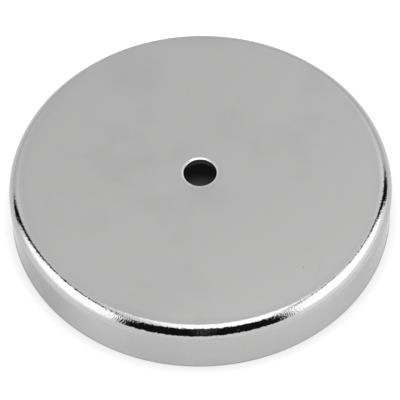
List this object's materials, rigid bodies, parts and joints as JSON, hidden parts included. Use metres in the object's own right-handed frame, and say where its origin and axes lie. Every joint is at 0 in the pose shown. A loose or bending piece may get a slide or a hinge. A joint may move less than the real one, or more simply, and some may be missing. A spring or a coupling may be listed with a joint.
{
  "type": "pot magnet",
  "caption": "Shallow round pot magnet: a ferrite ring potted into a nickel-plated drawn steel cup with a central screw hole, flat across its open pole face.",
  "frame": {"origin": "centre of the open ground rim, on the plane that the magnet holds against", "axes": "+Z along the cup's axis from the open pole face towards the closed end; X and Y are free, because the part is a body of revolution"},
  "size_m": [0.081, 0.081, 0.0109],
  "materials": {
    "nickel_plate": "bright nickel plate on smooth drawn steel, low gloss haze",
    "ferrite": "sintered and ground, matte dark grey",
    "resin": "cured black potting resin with a sagging meniscus"
  },
  "bodies": {
    "root": {"steel_cup": "nickel_plate", "ring_magnet": "ferrite", "potting_resin": "resin"}
  },
  "joints": []
}
